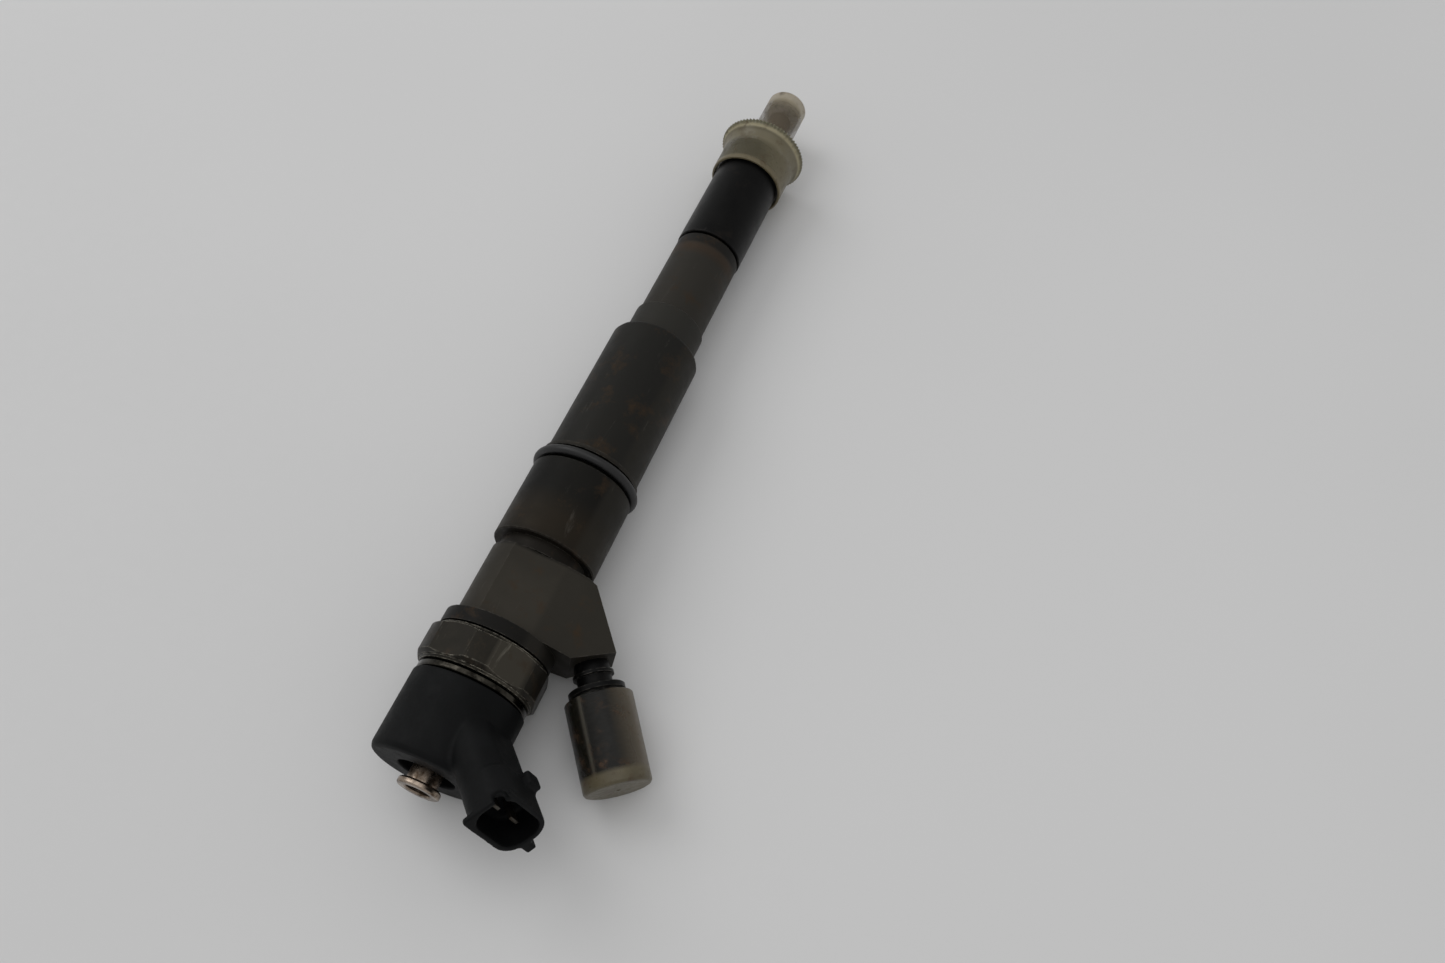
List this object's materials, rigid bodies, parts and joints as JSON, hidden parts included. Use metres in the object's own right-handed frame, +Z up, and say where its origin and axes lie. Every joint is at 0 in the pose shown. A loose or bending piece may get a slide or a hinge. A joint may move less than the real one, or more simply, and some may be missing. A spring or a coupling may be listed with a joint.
{
  "type": "fuel injector",
  "caption": "Common-rail diesel fuel injector with an angled inlet arm, hex solenoid nut, moulded plug head and needle nozzle, lying on its side with push-on caps on nozzle and inlet.",
  "frame": {"origin": "on the injector's long axis, where the nozzle nut's cylindrical land ends next to its sealing chamfer", "axes": "+Y along the injector from the electrical head to the nozzle tip, +X to the side that the inlet arm and plug socket leave on, +Z up with the injector lying as it is shown"},
  "size_m": [0.06, 0.2385, 0.0371],
  "materials": {
    "holder_steel": "phosphated, slightly satin, worn",
    "nut_steel": "satin steel with bright flats",
    "bright_steel": "bright nickelled steel",
    "black_steel": "black oxide, satin",
    "head_plastic": "moulded glass-filled plastic, matte",
    "cap_plastic": "translucent, yellowed, satin",
    "o_ring_rubber": "satin",
    "magnet_iron": "sintered",
    "bobbin_plastic": "moulded",
    "winding_copper": "enamelled copper wire",
    "terminal_tin": "tinned",
    "ground_steel": "ground and lapped",
    "spring_steel": "shot-peened wire"
  },
  "bodies": {
    "holder": {"holder_body": "holder_steel", "solenoid_nut": "nut_steel", "nut_retaining_ring": "bright_steel", "magnet_can": "bright_steel", "magnet_core": "magnet_iron", "coil_bobbin": "bobbin_plastic", "coil_winding": "winding_copper", "head_cover": "head_plastic", "return_nipple": "bright_steel", "terminals": "terminal_tin", "head_o_ring": "o_ring_rubber", "valve_spring_shim": "ground_steel", "valve_spring": "spring_steel", "armature_spring": "spring_steel", "air_gap_shim": "ground_steel", "armature_guide": "ground_steel", "valve_body": "ground_steel", "valve_seal_ring": "bobbin_plastic", "nozzle_spring_shim": "ground_steel", "nozzle_spring": "spring_steel", "nozzle_body": "black_steel", "locating_dowels": "ground_steel", "nozzle_nut": "black_steel", "inlet_fitting": "black_steel", "edge_filter": "ground_steel", "body_o_ring": "o_ring_rubber"},
    "needle": {"valve_piston": "ground_steel", "pressure_pin": "ground_steel", "nozzle_needle": "ground_steel"},
    "armature": {"armature_plate": "magnet_iron", "armature_bolt": "ground_steel", "ball_cap": "ground_steel", "valve_ball": "ground_steel"},
    "inlet_cap": {"inlet_cap": "cap_plastic"},
    "nozzle_cap": {"nozzle_cap": "cap_plastic"}
  },
  "joints": [
    {"name": "needle_lift", "type": "slide", "parent": "holder", "child": "needle", "axis": [0, -1, 0], "range_m": [0, 0.00025], "deforming": ["nozzle_spring"]},
    {"name": "armature_lift", "type": "slide", "parent": "holder", "child": "armature", "axis": [0, -1, 0], "range_m": [0, 0.00005], "deforming": ["valve_spring", "armature_spring"]},
    {"name": "nozzle_cap_pull", "type": "slide", "parent": "holder", "child": "nozzle_cap", "axis": [0, 1, 0], "range_m": [0, 0.045]},
    {"name": "inlet_cap_pull", "type": "slide", "parent": "holder", "child": "inlet_cap", "axis": [0.5924, -0.7978, -0.1124], "range_m": [0, 0.035]}
  ]
}
